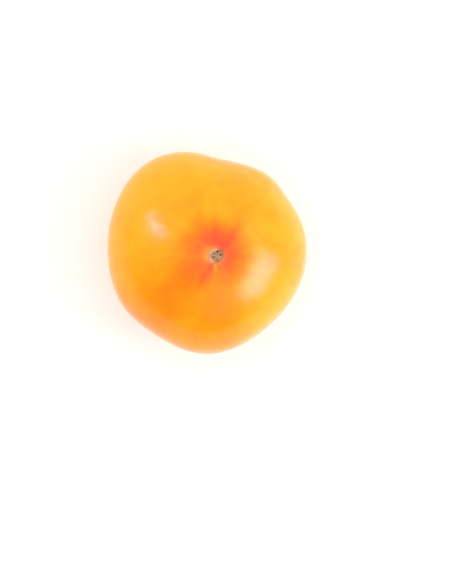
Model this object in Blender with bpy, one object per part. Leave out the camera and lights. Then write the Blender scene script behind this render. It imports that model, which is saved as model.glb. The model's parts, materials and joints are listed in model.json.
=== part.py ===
"""A ripe two-colour slicing tomato, picked clean of its stem, standing blossom end up.

The fruit is one solid. It rests on the flattened crests of its shoulders, round the hollow that
the stem grew from. Metres, +Z up: the origin is on the resting plane, under the middle of the fruit.
"""
import math

import bmesh
import bpy

# ---- overall sizes --------------------------------------------------------------------------
BODY_RADIUS = 0.0384            # the round body that the lobes swell from, at the widest level
CROWN_HEIGHT = 0.0628           # resting plane to the crown's peak, before the dimple sinks it
WIDEST_LEVEL = 0.0285           # height of the widest level above the resting plane

# ---- lobes: azimuth in degrees from +X, half width in degrees, swell at the widest level ------
LOBES = (
    (5.0, 36.0, 0.0024),
    (52.0, 12.0, 0.0016),
    (120.5, 29.5, 0.0052),
    (161.0, 33.0, 0.0021),
    (210.0, 20.0, 0.0018),
    (271.0, 26.0, 0.0026),
)
# the one furrow that shows in the outline: azimuth, half width, depth at the widest level
FURROW_AZIMUTH = 83.0
FURROW_HALF_WIDTH = 9.0
FURROW_DEPTH = 0.0010

# ---- crown, the blossom end on top ---------------------------------------------------------
CROWN_FULLNESS = 2.15           # 2 is an ellipse, more is boxier
BLOSSOM_OFFSET = (0.0044, -0.0018)      # the blossom scar's place beside the middle
DIMPLE_DEPTH = 0.0011
DIMPLE_RADIUS = 0.0085
BLOSSOM_SCAR_RADIUS = 0.0030
BLOSSOM_SCAR_RELIEF = 0.0003    # the corky rim stands this far above the skin

# ---- shoulders and stem hollow, underneath ---------------------------------------------------
SHOULDER_FULLNESS = 2.15
CREST_WIDTH = 0.75              # a crest's half width, as a share of its lobe's
SHOULDER_RING_RADIUS = 0.0185   # from the stem axis to the crests that the fruit rests on
SHOULDER_FURROW_DEPTH = 0.0022  # how far the furrows between the crests stay off the surface
REST_FLATTENING = 0.0005        # how far the crests are pressed flat where they rest
STEM_OFFSET = (-0.0022, 0.0010)
STEM_HOLLOW_DEPTH = 0.0095
STEM_SCAR_RADIUS = 0.0045
STEM_SCAR_RELIEF = 0.0006

# ---- the corky rim of either scar, as shares of the scar's radius -----------------------------
SCAR_RIM_PLACE = 0.7
SCAR_RIM_WIDTH = 0.35

# ---- surface mesh -----------------------------------------------------------------------------
SEGMENTS = 72
RINGS = 48
SHOULDER_ANGLE = 144.0          # polar angle, in degrees, where the shoulder crests lie
POLE_CROWDING = 0.55            # 0 spaces the rings evenly, more draws them towards the two scars

# ---- skin -------------------------------------------------------------------------------------
SKIN_COLOUR = (1.0, 0.42, 0.04, 1.0)
SKIN_ROUGHNESS = 0.32


def clear_scene():
    for item in list(bpy.data.objects):
        bpy.data.objects.remove(item, do_unlink=True)


def bell(distance, width):
    """A smooth bump, 1 in the middle and fading out past its width."""
    return math.exp(-(distance / width) ** 2)


def angle_between(first, second):
    return (first - second + 180.0) % 360.0 - 180.0


def lobe_swell(azimuth):
    """How far the lobes, less the furrow, push the widest level out at this azimuth."""
    swell = sum(rise * bell(angle_between(azimuth, centre), width) for centre, width, rise in LOBES)
    return swell - FURROW_DEPTH * bell(angle_between(azimuth, FURROW_AZIMUTH), FURROW_HALF_WIDTH)


def crest_share(azimuth):
    """1 on the crest of a lobe, towards 0 in the furrow between two lobes."""
    furrow = 1.0
    for centre, width, rise in LOBES:
        furrow *= 1.0 - bell(angle_between(azimuth, centre), CREST_WIDTH * width)
    return 1.0 - furrow


def scar_relief(radius, scar_radius, relief):
    """A corky scar: a low raised rim round a middle that is level with the skin."""
    rim_radius = SCAR_RIM_PLACE * scar_radius
    return relief * bell(radius - rim_radius, SCAR_RIM_WIDTH * scar_radius)


def crown_point(polar, azimuth):
    """The upper half, from the blossom scar down to the widest level."""
    power = 2.0 / CROWN_FULLNESS
    across = math.sin(polar) ** power
    rise = max(0.0, math.cos(polar)) ** power
    radius = (BODY_RADIUS + lobe_swell(azimuth) * across) * across
    dimple = DIMPLE_DEPTH * bell(radius, DIMPLE_RADIUS)
    scar = scar_relief(radius, BLOSSOM_SCAR_RADIUS, BLOSSOM_SCAR_RELIEF)
    height = WIDEST_LEVEL + (CROWN_HEIGHT - WIDEST_LEVEL) * rise - dimple + scar
    lean = rise ** 2
    return radius, height, (BLOSSOM_OFFSET[0] * lean, BLOSSOM_OFFSET[1] * lean)


def shoulder_point(share, azimuth):
    """From the widest level, share 0, round the shoulder to the crest that it rests on, share 1."""
    power = 2.0 / SHOULDER_FULLNESS
    turn = share * math.pi / 2.0
    across = math.cos(turn) ** power if share < 1.0 else 0.0
    drop = math.sin(turn) ** power
    widest = BODY_RADIUS + lobe_swell(azimuth)
    radius = SHOULDER_RING_RADIUS + (widest - SHOULDER_RING_RADIUS) * across
    furrow = SHOULDER_FURROW_DEPTH * (1.0 - crest_share(azimuth)) * drop ** 2
    height = (WIDEST_LEVEL + REST_FLATTENING) * (1.0 - drop) + furrow - REST_FLATTENING
    lean = drop ** 2
    return radius, height, (STEM_OFFSET[0] * lean, STEM_OFFSET[1] * lean)


def hollow_point(share, azimuth):
    """From the shoulder crest, share 0, in and up to the middle of the stem hollow, share 1."""
    radius = SHOULDER_RING_RADIUS * (1.0 - share)
    closeness = 1.0 - (radius / SHOULDER_RING_RADIUS) ** 2
    furrow = SHOULDER_FURROW_DEPTH * (1.0 - crest_share(azimuth)) * (1.0 - closeness)
    scar = scar_relief(radius, STEM_SCAR_RADIUS, STEM_SCAR_RELIEF)
    height = STEM_HOLLOW_DEPTH * closeness ** 3 + furrow - REST_FLATTENING - scar
    return radius, height, STEM_OFFSET


def skin_point(polar, azimuth):
    """The place on the skin for a direction, seen from inside the fruit."""
    widest_angle = math.pi / 2.0
    crest_angle = math.radians(SHOULDER_ANGLE)
    if polar <= widest_angle:
        radius, height, lean = crown_point(polar, azimuth)
    elif polar <= crest_angle:
        share = (polar - widest_angle) / (crest_angle - widest_angle)
        radius, height, lean = shoulder_point(share, azimuth)
    else:
        share = (polar - crest_angle) / (math.pi - crest_angle)
        radius, height, lean = hollow_point(share, azimuth)
    turn = math.radians(azimuth)
    x = lean[0] + radius * math.cos(turn)
    y = lean[1] + radius * math.sin(turn)
    return x, y, max(0.0, height)


def shape_fruit(mesh):
    """Moves each point of a unit sphere to its place on the skin, and centres the footprint."""
    body = bmesh.new()
    bmesh.ops.create_uvsphere(body, u_segments=SEGMENTS, v_segments=RINGS, radius=1.0)
    for vert in body.verts:
        even = math.acos(max(-1.0, min(1.0, vert.co.z)))
        polar = even - POLE_CROWDING * math.sin(2.0 * even) / 2.0
        azimuth = math.degrees(math.atan2(vert.co.y, vert.co.x))
        vert.co = skin_point(polar, azimuth)
    middle = [(min(v.co[axis] for v in body.verts) + max(v.co[axis] for v in body.verts)) / 2.0
              for axis in (0, 1)]
    bmesh.ops.translate(body, verts=body.verts, vec=(-middle[0], -middle[1], 0.0))
    bmesh.ops.triangulate(body, faces=body.faces)
    body.to_mesh(mesh)
    body.free()
    mesh.shade_smooth()


def skin_material():
    material = bpy.data.materials.new("ripe_tomato_skin")
    material.use_nodes = True
    shader = material.node_tree.nodes["Principled BSDF"]
    shader.inputs["Base Color"].default_value = SKIN_COLOUR
    shader.inputs["Roughness"].default_value = SKIN_ROUGHNESS
    shader.inputs["Metallic"].default_value = 0.0
    return material


def make_tomato():
    collection = bpy.data.collections.new("tomato")
    bpy.context.scene.collection.children.link(collection)
    mesh = bpy.data.meshes.new("tomato")
    shape_fruit(mesh)
    mesh.materials.append(skin_material())
    collection.objects.link(bpy.data.objects.new("tomato", mesh))


clear_scene()
make_tomato()
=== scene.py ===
import json
import math

import bmesh
import bpy
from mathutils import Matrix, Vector

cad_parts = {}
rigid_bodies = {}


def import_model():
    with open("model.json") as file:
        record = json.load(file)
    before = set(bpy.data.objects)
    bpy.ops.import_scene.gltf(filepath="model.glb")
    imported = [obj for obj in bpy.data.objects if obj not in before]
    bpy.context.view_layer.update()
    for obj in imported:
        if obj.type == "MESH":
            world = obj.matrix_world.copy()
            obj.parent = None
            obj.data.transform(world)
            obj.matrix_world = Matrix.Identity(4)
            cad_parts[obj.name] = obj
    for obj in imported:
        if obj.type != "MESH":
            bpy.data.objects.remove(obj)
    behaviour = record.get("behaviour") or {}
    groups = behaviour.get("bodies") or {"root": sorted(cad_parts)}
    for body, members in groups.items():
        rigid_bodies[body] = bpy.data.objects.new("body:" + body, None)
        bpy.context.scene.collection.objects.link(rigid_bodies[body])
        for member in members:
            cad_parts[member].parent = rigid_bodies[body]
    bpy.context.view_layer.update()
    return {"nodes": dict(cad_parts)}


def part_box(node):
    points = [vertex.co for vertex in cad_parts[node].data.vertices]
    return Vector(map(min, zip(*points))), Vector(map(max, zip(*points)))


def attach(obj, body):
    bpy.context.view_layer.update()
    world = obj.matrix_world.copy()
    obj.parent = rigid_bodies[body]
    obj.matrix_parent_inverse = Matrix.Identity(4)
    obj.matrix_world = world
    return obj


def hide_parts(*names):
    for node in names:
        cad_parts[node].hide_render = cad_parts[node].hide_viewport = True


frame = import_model()

MM = 0.001

# ---- the fruit, as the frame gives it ----------------------------------------------------------
LOW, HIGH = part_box("tomato")
MIDDLE = (LOW + HIGH) / 2
BREADTH = HIGH - LOW

# ---- the scars: where their axes stand beside the fruit's middle, and where their middles are -----
BLOSSOM_AXIS = Vector((MIDDLE.x + 4.15 * MM, MIDDLE.y - 1.81 * MM, 0.0))
BLOSSOM_MIDDLE = Vector((BLOSSOM_AXIS.x, BLOSSOM_AXIS.y, HIGH.z - 0.3 * MM))
HOLLOW_DEPTH = 9.0 * MM
HOLLOW_REACH = 20.0 * MM
STEM_AXIS = Vector((MIDDLE.x - 2.45 * MM, MIDDLE.y + 0.99 * MM, 0.0))
STEM_MIDDLE = Vector((STEM_AXIS.x, STEM_AXIS.y, LOW.z + HOLLOW_DEPTH))

# ---- skin mesh ---------------------------------------------------------------------------------
SKIN_SEGMENTS = 72
SKIN_RINGS = 48
SMOOTHING = 0.5                 # how far a pass draws each point towards its neighbours
SMOOTHING_PASSES = 3
SUBDIVISIONS = 2
SAME_PLACE = 0.001 * MM         # within this, it is the very point that was looked for
POLE_PLACE = 0.1 * MM           # within this of the pole, there is no point but the pole
EDGE_LEVELLING = 5.0 * MM       # how far round a scar the skin is levelled with the scar's edge
RESTING = 0.12 * MM             # what comes this near the floor is pressed flat on it

# Rings of skin that each scar takes the place of.
BLOSSOM_OPENING = 1
STEM_OPENING = 2
# Rings from the skin in to the middle of each scar: distance from its axis, and rise, both in mm.
BLOSSOM_SCAR_RINGS = (
    (4.2, 0.00), (3.8, 0.00), (3.5, 0.02), (3.25, 0.06), (3.05, 0.16), (2.85, 0.28), (2.65, 0.30),
    (2.45, 0.20), (2.2, 0.04), (1.9, -0.04), (1.5, -0.02), (1.1, 0.04), (0.7, 0.06), (0.3, 0.04),
)
STEM_SCAR_RINGS = (
    (6.2, 0.45), (5.6, 0.90), (5.1, 1.05), (4.7, 1.00), (4.3, 1.15), (3.9, 1.55), (3.5, 2.10),
    (3.0, 2.55), (2.5, 2.75), (2.0, 2.80), (1.5, 2.90), (1.0, 3.10), (0.5, 3.40),
)

# The blossom scar is a rounded, uneven pentagon: degrees from +X, and how far in mm the rim is
# drawn out there.
SCAR_CORNERS = ((168, 0.35), (104, -0.25), (46, 0.45), (2, -0.05), (-44, -0.35), (-138, 0.10))
CORNER_PLACE = 2.7 * MM
CORNER_REACH = 1.9 * MM
# Pits and crumbs of dry tissue: place from the scar's axis, rise and reach, in mm.
SCAR_LUMPS = (
    (0.15, 1.80, -0.70, 0.80), (1.40, 0.50, -0.55, 0.75), (-1.40, -0.55, -0.40, 0.70),
    (0.30, -1.90, -0.30, 0.60), (-1.00, 1.00, -0.20, 0.60), (-0.15, -1.00, 0.25, 0.55),
    (1.15, -0.65, 0.22, 0.60), (-1.90, 0.40, 0.15, 0.50), (0.45, 0.20, 0.15, 0.60),
)
# How far the dry cork of each scar reaches from its axis.
BLOSSOM_CORK_REACH = 2.9 * MM
STEM_CORK_REACH = 5.0 * MM

# How coarse and how high the surface is uneven.
SOFT_UNEVENNESS = (13.0 * MM, 0.35 * MM)
BLOSSOM_CRUMBS = (0.55 * MM, 0.22 * MM)
STEM_CRUMBS = (0.9 * MM, 0.5 * MM)


def deselect():
    if bpy.context.object and bpy.context.object.mode != "OBJECT":
        bpy.ops.object.mode_set(mode="OBJECT")
    bpy.ops.object.select_all(action="DESELECT")


def above(point):
    return point.z > MIDDLE.z


def below(point):
    return point.z < MIDDLE.z


def from_axis(point, axis):
    return math.hypot(point.x - axis.x, point.y - axis.y)


def heading_out(degrees):
    """The level direction that is turned so many degrees from +X."""
    return Vector((math.cos(math.radians(degrees)), math.sin(math.radians(degrees)), 0.0))


def choose(rule):
    """In edit mode, selects the points that the rule takes."""
    bpy.ops.mesh.select_mode(type="VERT")
    bpy.ops.mesh.select_all(action="DESELECT")
    mesh = bpy.context.object.data
    shape = bmesh.from_edit_mesh(mesh)
    for vert in shape.verts:
        vert.select = rule(vert.co)
    shape.select_flush(True)
    bmesh.update_edit_mesh(mesh)


def apply_modifier(piece, kind, **settings):
    made = piece.modifiers.new(kind.lower(), kind)
    for name, value in settings.items():
        setattr(made, name, value)
    bpy.ops.object.modifier_apply(modifier=made.name)


def nudge(place, shift, reach):
    """Moves the point of the upper side nearest to a place, and softly what lies round it."""
    mesh = bpy.context.object.data
    upper = [vert.co.copy() for vert in bmesh.from_edit_mesh(mesh).verts if above(vert.co)]
    nearest = min(upper, key=lambda p: from_axis(p, place))
    choose(lambda p: (p - nearest).length < SAME_PLACE)
    bpy.ops.transform.translate(value=shift, use_proportional_edit=True,
                                proportional_edit_falloff="SMOOTH", proportional_size=reach)


def draw_pole(outermost, axis, rise, reach):
    """Slides a pole over to a scar's axis, and in or out, with what lies round it.

    Outermost is max for the top pole and min for the bottom one.
    """
    mesh = bpy.context.object.data
    ends = [vert.co.copy() for vert in bmesh.from_edit_mesh(mesh).verts]
    pole = outermost(ends, key=lambda p: p.z)
    choose(lambda p: (p - pole).length < POLE_PLACE)
    bpy.ops.transform.translate(value=(axis.x - pole.x, axis.y - pole.y, rise),
                                use_proportional_edit=True, proportional_edit_falloff="SMOOTH",
                                proportional_size=reach)


def open_pole(side, rings):
    """Takes away the innermost rings of skin round the pole on one side."""
    shape = bmesh.from_edit_mesh(bpy.context.object.data)
    pole = next(vert.co.copy() for vert in shape.verts
                if len(vert.link_edges) == SKIN_SEGMENTS and side(vert.co))
    choose(lambda p: (p - pole).length < SAME_PLACE)
    for ring in range(rings):
        bpy.ops.mesh.select_more()
    bpy.ops.mesh.delete(type="VERT")


def choose_open_edge(side):
    """Selects the open edge on one side, and gives its points."""
    bpy.ops.mesh.select_mode(type="EDGE")
    bpy.ops.mesh.select_all(action="DESELECT")
    mesh = bpy.context.object.data
    shape = bmesh.from_edit_mesh(mesh)
    for rim in shape.edges:
        rim.select = rim.is_boundary and side(rim.verts[0].co)
    bmesh.update_edit_mesh(mesh)
    return [vert.co.copy() for vert in shape.verts if vert.is_boundary and side(vert.co)]


def turn_scar(side, axis, opening, rings):
    """Opens the skin at a pole, and works new tissue in from the edge to the scar's middle."""
    open_pole(side, opening)
    edge = choose_open_edge(side)
    radius = sum(from_axis(place, axis) for place in edge) / len(edge)
    level = sum(place.z for place in edge) / len(edge)
    bpy.ops.transform.resize(value=(1.0, 1.0, 0.0), center_override=(axis.x, axis.y, level),
                             use_proportional_edit=True, proportional_edit_falloff="SMOOTH",
                             proportional_size=EDGE_LEVELLING)
    height = 0.0
    for distance, rise in rings:
        bpy.ops.mesh.extrude_edges_move()
        share = distance * MM / radius
        bpy.ops.transform.resize(value=(share, share, 1.0), center_override=(axis.x, axis.y, level))
        bpy.ops.transform.translate(value=(0.0, 0.0, (rise - height) * MM))
        radius = distance * MM
        height = rise
    bpy.ops.mesh.merge(type="CENTER")


def name_group(skin, name, rule):
    """Keeps the points that the rule takes as a vertex group."""
    choose(rule)
    bpy.ops.object.vertex_group_add()
    skin.vertex_groups.active.name = name
    bpy.ops.object.vertex_group_assign()


def roughen(skin, name, grain, strength, group=""):
    """Lifts and sinks the surface with soft clouds of a given grain."""
    clouds = bpy.data.textures.new(name, "CLOUDS")
    clouds.noise_scale = grain
    clouds.noise_depth = 2
    apply_modifier(skin, "DISPLACE", texture=clouds, texture_coords="LOCAL", strength=strength,
                   mid_level=0.5, vertex_group=group)


def fit_to_frame(skin):
    """Takes up what the smoothing lost, so that the skin fills the fruit's own box again."""
    places = [vert.co for vert in skin.data.vertices]
    low = Vector(min(p[axis] for p in places) for axis in range(3))
    high = Vector(max(p[axis] for p in places) for axis in range(3))
    bpy.ops.object.mode_set(mode="EDIT")
    bpy.ops.mesh.select_all(action="SELECT")
    bpy.ops.transform.translate(value=MIDDLE - (low + high) / 2)
    bpy.ops.transform.resize(value=[BREADTH[axis] / (high - low)[axis] for axis in range(3)],
                             center_override=MIDDLE)
    choose(lambda p: p.z < LOW.z + RESTING)
    bpy.ops.transform.resize(value=(1.0, 1.0, 0.0), center_override=(MIDDLE.x, MIDDLE.y, LOW.z))
    bpy.ops.object.mode_set(mode="OBJECT")


def make_skin():
    """The whole outside of the fruit: one closed skin with both scars worked into it."""
    deselect()
    bpy.ops.mesh.primitive_uv_sphere_add(segments=SKIN_SEGMENTS, ring_count=SKIN_RINGS,
                                         radius=BREADTH.x / 2, location=MIDDLE)
    skin = bpy.context.object
    skin.name = "tomato_skin"
    bpy.ops.object.transform_apply(location=True, rotation=True, scale=True)

    # the fruit's own proportions, with the poles on the scars' axes, then its lobes and its hollow
    bpy.ops.object.mode_set(mode="EDIT")
    bpy.ops.transform.resize(value=(1.0, BREADTH.y / BREADTH.x, BREADTH.z / BREADTH.x),
                             center_override=MIDDLE)
    draw_pole(max, BLOSSOM_AXIS, 0.0, BREADTH.x / 2)
    draw_pole(min, STEM_AXIS, HOLLOW_DEPTH, HOLLOW_REACH)
    bpy.ops.object.mode_set(mode="OBJECT")
    apply_modifier(skin, "SHRINKWRAP", target=frame["nodes"]["tomato"],
                   wrap_method="NEAREST_SURFACEPOINT")
    apply_modifier(skin, "SMOOTH", factor=SMOOTHING, iterations=SMOOTHING_PASSES)

    # both scars
    bpy.ops.object.mode_set(mode="EDIT")
    turn_scar(above, BLOSSOM_AXIS, BLOSSOM_OPENING, BLOSSOM_SCAR_RINGS)
    turn_scar(below, STEM_AXIS, STEM_OPENING, STEM_SCAR_RINGS)
    for degrees, pull in SCAR_CORNERS:
        out = heading_out(degrees)
        nudge(BLOSSOM_AXIS + out * CORNER_PLACE, out * pull * MM, CORNER_REACH)
    name_group(skin, "blossom_cork",
               lambda p: above(p) and from_axis(p, BLOSSOM_AXIS) < BLOSSOM_CORK_REACH)
    name_group(skin, "stem_cork",
               lambda p: below(p) and from_axis(p, STEM_AXIS) < STEM_CORK_REACH)
    bpy.ops.object.mode_set(mode="OBJECT")

    # finer points, for the pits, the crumbs and the soft unevenness
    apply_modifier(skin, "SUBSURF", levels=SUBDIVISIONS, render_levels=SUBDIVISIONS)
    bpy.ops.object.mode_set(mode="EDIT")
    for across, up, rise, reach in SCAR_LUMPS:
        nudge(BLOSSOM_AXIS + Vector((across, up, 0.0)) * MM, (0.0, 0.0, rise * MM), reach * MM)
    bpy.ops.object.mode_set(mode="OBJECT")
    roughen(skin, "soft_unevenness", *SOFT_UNEVENNESS)
    roughen(skin, "blossom_crumbs", *BLOSSOM_CRUMBS, "blossom_cork")
    roughen(skin, "stem_crumbs", *STEM_CRUMBS, "stem_cork")
    fit_to_frame(skin)
    bpy.ops.object.shade_smooth()
    return skin


# ---- colours and patterns of the skin ------------------------------------------------------------
# Ripeness of the skin, from the reddest blush at 0 to clear gold at 1.
RIPENESS = ((0.0, "F44A22"), (0.25, "F66412"), (0.5, "F78000"), (0.75, "F79A02"), (1.0, "F7B412"))

# Round the blossom scar, in degrees from +X: the ripeness close to it, a little out, and far out.
COLLAR_ROUND = (
    (0, 0.25), (20, 0.28), (40, 0.18), (60, 0.0), (80, 0.04), (100, 0.20), (120, 0.34), (140, 0.46),
    (160, 0.54), (180, 0.68), (195, 0.64), (210, 0.36), (225, 0.30), (238, 0.08), (248, 0.10),
    (258, 0.55), (267, 1.0), (275, 0.30), (288, 0.26), (300, 0.40), (318, 0.18), (340, 0.18),
)
BLUSH_ROUND = (
    (0, 0.22), (20, 0.30), (40, 0.20), (57, 0.02), (75, 0.06), (100, 0.10), (120, 0.10), (140, 0.33),
    (165, 0.34), (188, 0.39), (205, 0.36), (222, 0.36), (232, 0.27), (240, 0.13), (249, 0.31),
    (262, 0.60), (280, 0.34), (300, 0.34), (320, 0.20), (345, 0.22),
)
GOLD_ROUND = (
    (0, 0.84), (20, 0.90), (40, 0.94), (60, 0.80), (85, 0.88), (120, 0.88), (140, 0.92), (165, 0.91),
    (185, 0.83), (200, 0.78), (215, 0.56), (232, 0.58), (250, 0.74), (270, 0.66), (283, 0.65),
    (298, 0.84), (330, 0.93),
)
# How far out the blush reaches, in mm: it is half faded there. No reach is past the top.
REACH_ROUND = (
    (0, 11.5), (20, 11.5), (38, 10.5), (57, 12.5), (75, 10), (92, 11), (106, 12), (120, 13.5),
    (138, 10.5), (155, 15), (172, 14.5), (190, 14.5), (205, 15.5), (220, 15.5), (232, 12), (241, 13),
    (262, 7.5), (280, 12), (305, 10.5), (325, 10.5), (345, 11),
)
REACH_TOP = 40.0

# How one look goes over into the next. Places are distances in mm from the scar's middle, except
# for the blush, where they are shares of its reach.
COLLAR_TO_BLUSH = {"From Min": 4.2, "From Max": 7.0}
BLUSH_TO_GOLD = {"From Min": 0.45, "From Max": 1.6}
PALER_SIDES = {"From Min": 22.0, "From Max": 38.0, "To Min": 0.0, "To Max": 0.08}
ROSY_CROWN = {"From Min": 5.0, "From Max": 14.0, "To Min": 0.05, "To Max": 0.0}

# Patterns: grain in mm, and how much it shifts the ripeness either way.
MOTTLE_GRAIN, MOTTLE_SHIFT = 3.0, 0.035
PATCH_GRAIN, PATCH_SHIFT = 11.0, 0.05
# The blush's outline wanders a few mm, in clouds of this grain.
WANDER_GRAIN, WANDER = 8.0, 2.0
# Rays: how close they stand side by side, and how far they draw the blush out or in.
BROAD_RAYS = (2.6, 0.1)
FINE_RAYS = (9.0, 0.035)
RAY_CHANGE = 0.06               # how fast a ray changes along its length
RAY_TINT = 0.3                  # the share of the broad rays that shows in the gold as well
# Noise keeps between these values nearly everywhere.
FROM_NOISE = {"From Min": 0.3, "From Max": 0.7}
# A place times this keeps its plan and loses its height.
PLAN = (1.0, 1.0, 0.0)

# Where the flesh shows a little rosier through the skin: place from the blossom scar's axis,
# breadth in mm, and strength.
ROSY_PATCHES = ((1.5, -17.0, 12.0, 0.07), (13.0, 9.0, 11.0, 0.05), (-14.0, 2.0, 9.0, 0.02))
ROSY = "F8A090"

# Pale flecks in the skin, one every couple of mm.
FLECK_SPACING = 1.7
FLECK = "FFD060"
FLECK_FADE = {"From Min": 0.05, "From Max": 0.14, "To Min": 0.22, "To Max": 0.0}

# Small corky specks in the skin of the crown: place from the blossom scar's axis, and size, in mm.
SPECKS = (
    (-7.4, 4.3, 0.35), (-11.0, 2.3, 0.35), (-22.6, -3.8, 0.3), (20.2, 27.4, 0.45),
    (-28.1, -26.9, 0.5), (-21.0, -33.0, 0.5), (-3.6, 11.8, 0.3),
)
# Specks low on the sides: degrees from +X, height and size, in mm.
SIDE_SPECKS = (
    (8, 24, 0.4), (31, 14, 0.5), (52, 33, 0.35), (74, 20, 0.5), (98, 28, 0.35), (117, 11, 0.5),
    (139, 22, 0.4), (158, 31, 0.35), (184, 17, 0.5), (206, 27, 0.4), (229, 36, 0.35), (251, 13, 0.5),
    (274, 25, 0.4), (296, 34, 0.35), (318, 18, 0.5), (341, 30, 0.4),
)
SPECK = "8A4A14"
SPECK_HEART = 0.4               # the share of a speck that is at full strength
SPECK_STRENGTH = 0.65

# ---- colours and patterns of the blossom scar -----------------------------------------------------
# Dry cork, from its darkest grain to its palest; dark tissue with painted shade for its deepest pits,
# and its palest crumbs.
CORK = ((0.3, "5E4424"), (0.42, "8E6C46"), (0.5, "B4806A"), (0.58, "B09066"), (0.68, "E6CCA4"))
SHADED_PIT = "4E3010"
CRUMB = "D9AC88"
LUMP_HEART, LUMP_EDGE = 0.15, 0.75      # shares of a pit's or crumb's reach: full colour, and none
# A pit's darkness, dark tissue with painted shade, grows with how deep it sinks; a crumb pales with how
# far it stands up.
PIT_SHADE_AND_CRUMB_TINT = 1.8                         # strength for each mm that it sinks or stands up
# How creamy the rim is, all round, and its colours where it isn't and where it is.
RIM_ROUND = (
    (0, 0.2), (30, 0.05), (60, 0.0), (80, 0.3), (95, 0.8), (112, 1.0), (150, 0.85), (178, 0.4),
    (200, 0.8), (225, 1.0), (245, 0.6), (262, 0.3), (285, 0.25), (310, 0.3), (335, 0.25),
)
RIM_PLAIN = "D0602C"
RIM_CREAM = "E4B57E"
HALO = "F6B486"
# The scar's radius where no corner draws it out, and the most that it comes to, in mm.
SCAR_RADIUS = 2.95
SCAR_TOP = 4.0
# Where the core, the rim and the pale halo of skin round it end, in shares of the scar's radius.
CORE_EDGE = {"From Min": 0.70, "From Max": 0.86, "To Min": 1.0, "To Max": 0.0}
RIM_EDGE = {"From Min": 0.96, "From Max": 1.14, "To Min": 1.0, "To Max": 0.0}
HALO_EDGE = {"From Min": 1.0, "From Max": 1.75, "To Min": 0.34, "To Max": 0.0}
CRUMB_GRAIN = 0.55              # of the dry tissue, in mm
CRUMB_ROUGHNESS = 0.6
RAGGEDNESS = 0.16               # how far the crumbs shift those edges, as a share of the radius
CROWN_REACH = 10.0              # the scar's colours stay within this of its middle, in mm

# ---- colours and patterns of the stem end ----------------------------------------------------------
# Distances from the middle of the stem scar, in mm.
UNRIPE = "C9A81C"
UNRIPE_FADE = {"From Min": 6.0, "From Max": 24.0, "To Min": 0.65, "To Max": 0.0}
CRACK = "B98F4C"
CRACK_RAYS = (7.0, 2.2)         # how close the cracks stand, and how many mm longer or shorter they are
CRACK_FADE = {"From Min": 5.2, "From Max": 6.6, "To Min": 0.75, "To Max": 0.0}
STEM_CORK = ((0.3, "6A4A28"), (0.45, "96703E"), (0.58, "B28C58"), (0.72, "CFB07C"))
STEM_CRUMB_GRAIN = 0.8
STEM_RAGGEDNESS = 0.4
STEM_EDGE = {"From Min": 4.6, "From Max": 5.0, "To Min": 1.0, "To Max": 0.0}
STRANDS = "5A3C1E"
STRANDS_FADE = {"From Min": 1.2, "From Max": 2.6, "To Min": 0.7, "To Max": 0.0}

# ---- relief and gloss, in mm ---------------------------------------------------------------------
# The skin's real grain is a cell wide, about 0.05 mm: it is drawn coarser here, so that it shows.
GRAIN, GRAIN_RELIEF = 0.7, 0.006
DENT_GRAIN, DENT_RELIEF = 6.0, 0.07
CRUMB_RELIEF = 0.25
GLOSS = {"To Min": 0.17, "To Max": 0.23}
CORK_ROUGHNESS = 0.8
WAX_IOR = 1.39
WAX_TINT = (1.0, 0.36, 0.8, 1.0)
GLOW = 0.12                     # light that goes through the flesh under the skin, and how deep
GLOW_COLOURS = (1.0, 0.35, 0.1)
GLOW_DEPTH = 2.0 * MM


def linear(code):
    """A colour written as sRGB hex, turned to the linear numbers that shaders take."""
    parts = [int(code[at:at + 2], 16) / 255 for at in (0, 2, 4)]
    return tuple(p / 12.92 if p <= 0.04045 else ((p + 0.055) / 1.055) ** 2.4 for p in parts) + (1.0,)


def feed(tree, node, inputs):
    """Sets inputs, each to a number, a colour, or the node or socket that feeds it."""
    for key, value in inputs.items():
        if isinstance(value, bpy.types.Node):
            value = next(socket for socket in value.outputs if socket.enabled)
        if isinstance(value, bpy.types.NodeSocket):
            tree.links.new(value, node.inputs[key])
        else:
            node.inputs[key].default_value = value


def put(tree, kind, inputs=None, stops=None, smooth=False, **settings):
    """Adds a node with its settings and inputs. Stops are a ramp's colours or numbers."""
    made = tree.nodes.new("ShaderNode" + kind)
    for name, value in settings.items():
        setattr(made, name, value)
    feed(tree, made, inputs or {})
    if stops:
        ramp = made.color_ramp
        ramp.interpolation = "B_SPLINE" if smooth else "LINEAR"
        while len(ramp.elements) > 1:
            ramp.elements.remove(ramp.elements[-1])
        for number, (at, colour) in enumerate(stops):
            stop = ramp.elements[0] if number == 0 else ramp.elements.new(at)
            stop.position = at
            stop.color = linear(colour) if isinstance(colour, str) else (colour,) * 3 + (1.0,)
    return made


def around(table, scale=1.0):
    """A table read once round the scar, as ramp stops: the ramp runs from -180 to 180 degrees."""
    turned = sorted(((degrees + 180) % 360 / 360, value / scale) for degrees, value in table)
    first, last = turned[0], turned[-1]
    gap = first[0] + 1 - last[0]
    seam = last[1] + (first[1] - last[1]) * (1 - last[0]) / gap
    return [(0.0, seam)] + [stop for stop in turned if 0 < stop[0] < 1] + [(1.0, seam)]


def find_specks(skin):
    """The specks' places on the skin, in mm from the blossom scar, and their sizes."""
    bpy.context.view_layer.update()
    found = []
    for across, up, size in SPECKS:
        over = Vector((BLOSSOM_AXIS.x + across * MM, BLOSSOM_AXIS.y + up * MM, 2 * HIGH.z))
        hit, spot, normal, face = skin.ray_cast(over, (0.0, 0.0, -1.0))
        found.append(((spot - BLOSSOM_MIDDLE) / MM, size))
    for degrees, height, size in SIDE_SPECKS:
        out = heading_out(degrees)
        beside = Vector((MIDDLE.x, MIDDLE.y, LOW.z + height * MM)) + out * BREADTH.x
        hit, spot, normal, face = skin.ray_cast(beside, -out)
        found.append(((spot - BLOSSOM_MIDDLE) / MM, size))
    return found


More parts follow.
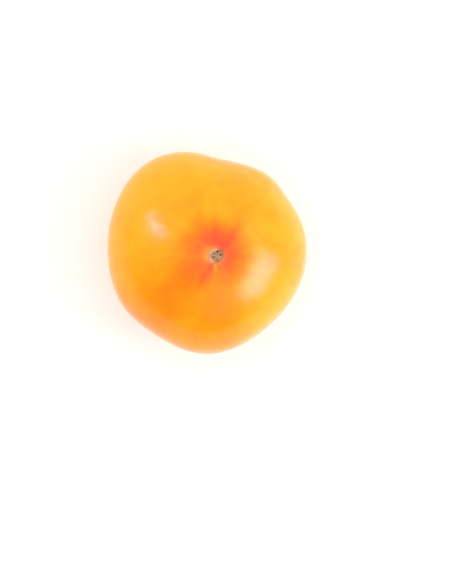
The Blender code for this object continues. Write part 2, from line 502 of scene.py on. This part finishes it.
def from_scar(tree, coords, middle):
    """Millimetres from a scar's middle: the place itself, its plan, and its distance."""
    place = put(tree, "Mapping", {"Vector": coords, "Location": -middle / MM, "Scale": (1 / MM,) * 3})
    plan = put(tree, "VectorMath", {0: place, 1: PLAN}, operation="MULTIPLY")
    return place, plan, put(tree, "VectorMath", {0: place}, operation="LENGTH").outputs["Value"]


def drawn_out(tree, ray, distance, closeness, amount):
    """Noise drawn out along the rays from a scar, from -amount to amount."""
    slow = put(tree, "Math", {0: distance, 1: RAY_CHANGE}, operation="MULTIPLY")
    lifted = put(tree, "CombineXYZ", {2: slow})
    spread = put(tree, "VectorMath", {0: ray, "Scale": closeness}, operation="SCALE")
    place = put(tree, "VectorMath", {0: spread, 1: lifted}, operation="ADD")
    noise = put(tree, "TexNoise", {"Vector": place, "Scale": 1.0, "Detail": 2.0})
    return put(tree, "MapRange", {"Value": noise.outputs["Fac"], **FROM_NOISE,
                                  "To Min": -amount, "To Max": amount})


def wandering(tree, place):
    """Distance from the scar, ray and way round it, a little off so that no outline is even."""
    wander = put(tree, "TexNoise", {"Vector": place, "Scale": 1 / WANDER_GRAIN, "Detail": 2.0})
    centred = put(tree, "VectorMath", {0: wander.outputs["Color"], 1: (0.5, 0.5, 0.5)},
                  operation="SUBTRACT")
    pushed = put(tree, "VectorMath", {0: centred, "Scale": WANDER}, operation="SCALE")
    bent = put(tree, "VectorMath", {0: place, 1: pushed}, operation="ADD")
    distance = put(tree, "VectorMath", {0: bent}, operation="LENGTH").outputs["Value"]
    flat = put(tree, "VectorMath", {0: bent, 1: PLAN}, operation="MULTIPLY")
    ray = put(tree, "VectorMath", {0: flat}, operation="NORMALIZE")
    parts = put(tree, "SeparateXYZ", {0: bent})
    turn = put(tree, "Math", {0: parts.outputs["Y"], 1: parts.outputs["X"]}, operation="ARCTAN2")
    way = put(tree, "MapRange", {"Value": turn, "From Min": -math.pi, "From Max": math.pi})
    return distance, ray, way


def ripeness_of_skin(tree, place, distance, ray, way):
    """Ripe to unripe: red-orange round the blossom scar, running out in rays into gold."""
    collar = put(tree, "ValToRGB", {0: way}, stops=around(COLLAR_ROUND), smooth=True)
    blush = put(tree, "ValToRGB", {0: way}, stops=around(BLUSH_ROUND), smooth=True)
    gold = put(tree, "ValToRGB", {0: way}, stops=around(GOLD_ROUND), smooth=True)
    reach = put(tree, "ValToRGB", {0: way}, stops=around(REACH_ROUND, REACH_TOP), smooth=True)
    reach_mm = put(tree, "Math", {0: reach, 1: REACH_TOP}, operation="MULTIPLY")
    share = put(tree, "Math", {0: distance, 1: reach_mm}, operation="DIVIDE")
    broad = drawn_out(tree, ray, distance, *BROAD_RAYS)
    fine = drawn_out(tree, ray, distance, *FINE_RAYS)
    ragged = put(tree, "Math", {0: share, 1: broad}, operation="ADD")
    frayed = put(tree, "Math", {0: ragged, 1: fine}, operation="ADD")
    out_of_collar = put(tree, "MapRange", {"Value": distance, **COLLAR_TO_BLUSH},
                        interpolation_type="SMOOTHSTEP")
    out_of_blush = put(tree, "MapRange", {"Value": frayed, **BLUSH_TO_GOLD},
                       interpolation_type="SMOOTHSTEP")
    near = put(tree, "Mix", {0: out_of_collar, 2: collar, 3: blush}, data_type="FLOAT")
    ripeness = put(tree, "Mix", {0: out_of_blush, 2: near, 3: gold}, data_type="FLOAT")

    mottle = put(tree, "TexNoise", {"Vector": place, "Scale": 1 / MOTTLE_GRAIN, "Detail": 4.0})
    mottling = put(tree, "MapRange", {"Value": mottle.outputs["Fac"], **FROM_NOISE,
                                      "To Min": -MOTTLE_SHIFT, "To Max": MOTTLE_SHIFT})
    mottled = put(tree, "Math", {0: ripeness, 1: mottling}, operation="ADD")
    paling = put(tree, "MapRange", {"Value": distance, **PALER_SIDES}, interpolation_type="SMOOTHSTEP")
    paled = put(tree, "Math", {0: mottled, 1: paling}, operation="ADD")
    rayed = put(tree, "Math", {0: broad, 1: RAY_TINT, 2: paled}, operation="MULTIPLY_ADD")
    patches = put(tree, "TexNoise", {"Vector": place, "Scale": 1 / PATCH_GRAIN, "Detail": 2.0})
    patching = put(tree, "MapRange", {"Value": patches.outputs["Fac"], **FROM_NOISE,
                                      "To Min": -PATCH_SHIFT, "To Max": PATCH_SHIFT})
    return put(tree, "Math", {0: rayed, 1: patching}, operation="ADD")


def sound_skin(tree, place, plan, distance, ripeness):
    """The colour of skin that is whole: its ripeness, a rosy tinge here and there, and pale flecks."""
    ripe = put(tree, "ValToRGB", {0: ripeness}, stops=RIPENESS)
    rosy = put(tree, "MapRange", {"Value": distance, **ROSY_CROWN}, interpolation_type="SMOOTHSTEP")
    colour = put(tree, "Mix", {0: rosy, 6: ripe, 7: linear(ROSY)}, data_type="RGBA")
    for across, up, breadth, strength in ROSY_PATCHES:
        gap = put(tree, "VectorMath", {0: plan, 1: (across, up, 0.0)}, operation="DISTANCE")
        there = put(tree, "MapRange", {"Value": gap.outputs["Value"], "From Max": breadth,
                                       "To Min": strength, "To Max": 0.0},
                    interpolation_type="SMOOTHSTEP")
        colour = put(tree, "Mix", {0: there, 6: colour, 7: linear(ROSY)}, data_type="RGBA")
    cells = put(tree, "TexVoronoi", {"Vector": place, "Scale": 1 / FLECK_SPACING})
    fleck = put(tree, "MapRange", {"Value": cells.outputs["Distance"], **FLECK_FADE})
    return put(tree, "Mix", {0: fleck, 6: colour, 7: linear(FLECK)}, data_type="RGBA")


def add_specks(tree, place, colour, specks):
    for spot, size in specks:
        gap = put(tree, "VectorMath", {0: place, 1: spot}, operation="DISTANCE")
        there = put(tree, "MapRange", {"Value": gap.outputs["Value"], "From Min": SPECK_HEART * size,
                                       "From Max": size, "To Min": SPECK_STRENGTH, "To Max": 0.0})
        colour = put(tree, "Mix", {0: there, 6: colour, 7: linear(SPECK)}, data_type="RGBA")
    return colour


def cork_with_pit_shade(tree, plan, crumbs):
    """Dry tissue by its grain, dark tissue with painted shade in the pits, and pale on the crumbs that
    stand up.
    """
    cork = put(tree, "ValToRGB", {0: crumbs.outputs["Fac"]}, stops=CORK)
    for across, up, rise, reach in SCAR_LUMPS:
        gap = put(tree, "VectorMath", {0: plan, 1: (across, up, 0.0)}, operation="DISTANCE")
        there = put(tree, "MapRange", {"Value": gap.outputs["Value"], "From Min": LUMP_HEART * reach,
                                       "From Max": LUMP_EDGE * reach,
                                       "To Min": min(1.0, abs(rise) * PIT_SHADE_AND_CRUMB_TINT), "To Max": 0.0},
                    interpolation_type="SMOOTHSTEP")
        # Pits take dark tissue with painted shade, crumbs their pale colour.
        pit_shade_or_crumb = SHADED_PIT if rise < 0 else CRUMB
        cork = put(tree, "Mix", {0: there, 6: cork, 7: linear(pit_shade_or_crumb)}, data_type="RGBA")
    return cork


def add_blossom_scar(tree, plan, from_middle, way, colour, crumbs):
    """A cream rim round dry cork, in a pale halo. Gives the colour, and where the scar is."""
    corners = [(degrees, SCAR_RADIUS + pull) for degrees, pull in SCAR_CORNERS]
    edge = put(tree, "ValToRGB", {0: way}, stops=around(corners, SCAR_TOP))
    edge_mm = put(tree, "Math", {0: edge, 1: SCAR_TOP}, operation="MULTIPLY")
    crumbling = put(tree, "MapRange", {"Value": crumbs.outputs["Fac"], **FROM_NOISE,
                                       "To Min": -RAGGEDNESS, "To Max": RAGGEDNESS})
    out = put(tree, "VectorMath", {0: plan}, operation="LENGTH").outputs["Value"]
    even_share = put(tree, "Math", {0: out, 1: edge_mm}, operation="DIVIDE")
    share = put(tree, "Math", {0: even_share, 1: crumbling}, operation="ADD")
    on_crown = put(tree, "Math", {0: from_middle, 1: CROWN_REACH}, operation="LESS_THAN")

    cream = put(tree, "ValToRGB", {0: way}, stops=around(RIM_ROUND), smooth=True)
    halo = put(tree, "MapRange", {"Value": share, **HALO_EDGE}, interpolation_type="SMOOTHSTEP")
    halo_on_crown = put(tree, "Math", {0: halo, 1: on_crown}, operation="MULTIPLY")
    halo_here = put(tree, "Math", {0: halo_on_crown, 1: cream}, operation="MULTIPLY")
    colour = put(tree, "Mix", {0: halo_here, 6: colour, 7: linear(HALO)}, data_type="RGBA")

    rim = put(tree, "MapRange", {"Value": share, **RIM_EDGE}, interpolation_type="SMOOTHSTEP")
    rim_here = put(tree, "Math", {0: rim, 1: on_crown}, operation="MULTIPLY")
    rim_colour = put(tree, "Mix", {0: cream, 6: linear(RIM_PLAIN), 7: linear(RIM_CREAM)},
                     data_type="RGBA")
    colour = put(tree, "Mix", {0: rim_here, 6: colour, 7: rim_colour}, data_type="RGBA")

    core = put(tree, "MapRange", {"Value": share, **CORE_EDGE}, interpolation_type="SMOOTHSTEP")
    core_here = put(tree, "Math", {0: core, 1: on_crown}, operation="MULTIPLY")
    cork = cork_with_pit_shade(tree, plan, crumbs)
    return put(tree, "Mix", {0: core_here, 6: colour, 7: cork}, data_type="RGBA"), rim_here


def add_stem_end(tree, coords, colour):
    """Greenish gold in the hollow, tan cracks, and a corky scar where the stem came away.

    Gives the colour, and where the scar is.
    """
    place, plan, distance = from_scar(tree, coords, STEM_MIDDLE)
    unripe = put(tree, "MapRange", {"Value": distance, **UNRIPE_FADE}, interpolation_type="SMOOTHSTEP")
    colour = put(tree, "Mix", {0: unripe, 6: colour, 7: linear(UNRIPE)}, data_type="RGBA")

    ray = put(tree, "VectorMath", {0: plan}, operation="NORMALIZE")
    cracks = drawn_out(tree, ray, distance, *CRACK_RAYS)
    crack_reach = put(tree, "Math", {0: distance, 1: cracks}, operation="SUBTRACT")
    cracked = put(tree, "MapRange", {"Value": crack_reach, **CRACK_FADE},
                  interpolation_type="SMOOTHSTEP")
    colour = put(tree, "Mix", {0: cracked, 6: colour, 7: linear(CRACK)}, data_type="RGBA")

    crumbs = put(tree, "TexNoise", {"Vector": place, "Scale": 1 / STEM_CRUMB_GRAIN, "Detail": 4.0,
                                    "Roughness": CRUMB_ROUGHNESS})
    crumbling = put(tree, "MapRange", {"Value": crumbs.outputs["Fac"], **FROM_NOISE,
                                       "To Min": -STEM_RAGGEDNESS, "To Max": STEM_RAGGEDNESS})
    ragged = put(tree, "Math", {0: distance, 1: crumbling}, operation="ADD")
    scar_here = put(tree, "MapRange", {"Value": ragged, **STEM_EDGE}, interpolation_type="SMOOTHSTEP")
    strands = put(tree, "MapRange", {"Value": ragged, **STRANDS_FADE}, interpolation_type="SMOOTHSTEP")
    cork = put(tree, "ValToRGB", {0: crumbs.outputs["Fac"]}, stops=STEM_CORK)
    cork = put(tree, "Mix", {0: strands, 6: cork, 7: linear(STRANDS)}, data_type="RGBA")
    return put(tree, "Mix", {0: scar_here, 6: colour, 7: cork}, data_type="RGBA"), scar_here


def relief_and_gloss(tree, place, crumbs, dry):
    """A fine grain and shallow dents in waxy skin, and rough, crumbly cork."""
    grain = put(tree, "TexNoise", {"Vector": place, "Scale": 1 / GRAIN, "Detail": 3.0})
    dents = put(tree, "TexNoise", {"Vector": place, "Scale": 1 / DENT_GRAIN, "Detail": 1.0})
    grained = put(tree, "Bump", {"Height": grain.outputs["Fac"], "Strength": 1.0,
                                 "Distance": GRAIN_RELIEF * MM})
    dented = put(tree, "Bump", {"Height": dents.outputs["Fac"], "Strength": 1.0,
                                "Distance": DENT_RELIEF * MM, "Normal": grained})
    crumb_height = put(tree, "Math", {0: crumbs.outputs["Fac"], 1: dry}, operation="MULTIPLY")
    crumbled = put(tree, "Bump", {"Height": crumb_height, "Strength": 1.0,
                                  "Distance": CRUMB_RELIEF * MM, "Normal": dented})
    gloss = put(tree, "MapRange", {"Value": grain.outputs["Fac"], **FROM_NOISE, **GLOSS})
    return crumbled, put(tree, "Mix", {0: dry, 2: gloss, 3: CORK_ROUGHNESS}, data_type="FLOAT")


def tomato_skin_material(specks):
    """Ripe tomato skin: a thin waxy cuticle over golden flesh.

    It shines softly and glows a little, with matt cork on both scars.
    """
    material = bpy.data.materials.new("waxy_tomato_skin")
    material.use_nodes = True
    tree = material.node_tree
    coords = put(tree, "TexCoord").outputs["Object"]
    place, plan, from_middle = from_scar(tree, coords, BLOSSOM_MIDDLE)
    distance, ray, way = wandering(tree, place)
    ripeness = ripeness_of_skin(tree, place, distance, ray, way)
    colour = sound_skin(tree, place, plan, distance, ripeness)
    colour = add_specks(tree, place, colour, specks)
    crumbs = put(tree, "TexNoise", {"Vector": place, "Scale": 1 / CRUMB_GRAIN, "Detail": 3.0,
                                    "Roughness": CRUMB_ROUGHNESS})
    colour, blossom_here = add_blossom_scar(tree, plan, from_middle, way, colour, crumbs)
    colour, stem_here = add_stem_end(tree, coords, colour)
    dry = put(tree, "Math", {0: blossom_here, 1: stem_here}, operation="MAXIMUM")
    relief, roughness = relief_and_gloss(tree, place, crumbs, dry)
    feed(tree, tree.nodes["Principled BSDF"], {
        "Base Color": colour, "Roughness": roughness, "Normal": relief,
        "IOR": WAX_IOR, "Specular Tint": WAX_TINT,
        "Subsurface Weight": GLOW, "Subsurface Radius": GLOW_COLOURS, "Subsurface Scale": GLOW_DEPTH})
    return material


skin = make_skin()
skin.data.materials.append(tomato_skin_material(find_specks(skin)))

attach(skin, "root")
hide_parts("tomato")


# ---- floor, light and camera -------------------------------------------------------------------
FLOOR_SIZE = 3.0
# Real frosting is finer than 0.1 mm: it is drawn coarser here, so that it shows.
FROSTING_GRAIN = 1.5 * MM
FROSTING_RELIEF = 0.02 * MM
FROSTED_WHITE = ((0.3, "F8F0F1"), (0.7, "FAF2F3"))
FROSTED_ROUGHNESS = {"To Min": 0.85, "To Max": 0.95}
FLOOR_LIGHT, FLOOR_LIGHT_COLOUR = 0.12, "FFFEFA"

ROOM_WHITE = "FFFEFC"
ROOM_LIGHT = 1.12
# What the fruit mirrors: the even room, dimmed more the further it lies towards the dim side.
DIM_SIDE = Vector((-0.5, -0.86, 0.0))
DIMMING = {"From Min": 0.0, "From Max": 0.75, "To Min": 1.0, "To Max": 0.1}

PANEL_DISTANCE = 0.9
# A panel's light, from its middle out to its edge.
PANEL_FADE = {"From Min": 0.0, "From Max": 0.5, "To Min": 3.3, "To Max": 0.0}

CAMERA_LENS = 100.0
CAMERA_BESIDE = (7.28 * MM, -11.6 * MM)
CAMERA_HEIGHT = 665.0 * MM


def make_floor():
    """A sheet of frosted white acrylic: matt, even and faintly lit from below."""
    deselect()
    bpy.ops.mesh.primitive_plane_add(size=FLOOR_SIZE, location=(0.0, 0.0, LOW.z))
    floor = bpy.context.object
    floor.name = "floor"
    material = bpy.data.materials.new("frosted_white_acrylic")
    material.use_nodes = True
    tree = material.node_tree
    place = put(tree, "TexCoord").outputs["Object"]
    frosting = put(tree, "TexNoise", {"Vector": place, "Scale": 1 / FROSTING_GRAIN, "Detail": 2.0})
    white = put(tree, "ValToRGB", {0: frosting.outputs["Fac"]}, stops=FROSTED_WHITE)
    matt = put(tree, "MapRange", {"Value": frosting.outputs["Fac"], **FROSTED_ROUGHNESS})
    frosted = put(tree, "Bump", {"Height": frosting.outputs["Fac"], "Strength": 0.3,
                                 "Distance": FROSTING_RELIEF})
    feed(tree, tree.nodes["Principled BSDF"], {
        "Base Color": white, "Roughness": matt, "Normal": frosted,
        "Emission Color": linear(FLOOR_LIGHT_COLOUR), "Emission Strength": FLOOR_LIGHT})
    floor.data.materials.append(material)
    return floor


def make_world():
    """A white room. What the fruit mirrors of its near left side is dim."""
    world = bpy.data.worlds.new("white_room")
    bpy.context.scene.world = world
    world.use_nodes = True
    tree = world.node_tree
    way = put(tree, "TexCoord").outputs["Generated"]
    towards = put(tree, "VectorMath", {0: way, 1: DIM_SIDE}, operation="DOT_PRODUCT").outputs["Value"]
    mirrored = put(tree, "MapRange", {"Value": towards, **DIMMING}, interpolation_type="SMOOTHSTEP")
    is_mirrored = put(tree, "LightPath").outputs["Is Glossy Ray"]
    light = put(tree, "Mix", {0: is_mirrored, 2: ROOM_LIGHT, 3: mirrored}, data_type="FLOAT")
    feed(tree, tree.nodes["Background"], {"Color": linear(ROOM_WHITE), "Strength": light})


def soft_light(name, heading, tilt, wide, tall, power, spin=0.0, shines=True, fills=True):
    """A lit panel that faces the fruit, brightest in its middle and fading out to its edges.

    Heading is in degrees from +X, tilt in degrees from straight up, and spin in degrees about the
    line to the fruit. A panel that shines is mirrored in the skin, and one that fills lights it.
    """
    lamp = bpy.data.lights.new(name, "AREA")
    lamp.shape = "RECTANGLE"
    lamp.size = wide
    lamp.size_y = tall
    lamp.energy = power
    lamp.use_nodes = True
    tree = lamp.node_tree
    across = put(tree, "NewGeometry").outputs["Parametric"]
    from_middle = put(tree, "VectorMath", {0: across, 1: (0.5, 0.5, 0.0)}, operation="DISTANCE")
    fading = put(tree, "MapRange", {"Value": from_middle.outputs["Value"], **PANEL_FADE},
                 interpolation_type="SMOOTHSTEP")
    feed(tree, tree.nodes["Emission"], {"Strength": fading})
    panel = bpy.data.objects.new(name, lamp)
    turn, lean = math.radians(heading), math.radians(tilt)
    back = Vector((math.cos(turn) * math.sin(lean), math.sin(turn) * math.sin(lean), math.cos(lean)))
    panel.location = MIDDLE + back * PANEL_DISTANCE
    panel.rotation_euler = back.to_track_quat("Z", "Y").to_euler()
    panel.rotation_euler.rotate_axis("Z", math.radians(spin))
    panel.visible_glossy = shines
    panel.visible_diffuse = fills
    bpy.context.scene.collection.objects.link(panel)


def make_camera():
    """Straight above the fruit, which stands a little up and left of the middle of the view."""
    camera = bpy.data.cameras.new("camera")
    camera.lens = CAMERA_LENS
    eye = bpy.data.objects.new("camera", camera)
    across, up = CAMERA_BESIDE
    eye.location = (MIDDLE.x + across, MIDDLE.y + up, LOW.z + CAMERA_HEIGHT)
    bpy.context.scene.collection.objects.link(eye)
    bpy.context.scene.camera = eye


make_floor()
make_world()
soft_light("key", heading=-12.0, tilt=56.0, wide=0.6, tall=0.6, power=2.2, shines=False)
soft_light("right_window", heading=-14.0, tilt=52.5, wide=0.75, tall=1.2, power=11.0, fills=False)
soft_light("right_window_foot", heading=-37.5, tilt=55.5, wide=0.6, tall=1.1, power=7.2, fills=False)
soft_light("left_window", heading=157.0, tilt=58.0, wide=0.17, tall=0.5, power=2.5, spin=-8.0,
           fills=False)
make_camera()
bpy.context.scene.view_settings.view_transform = "Standard"
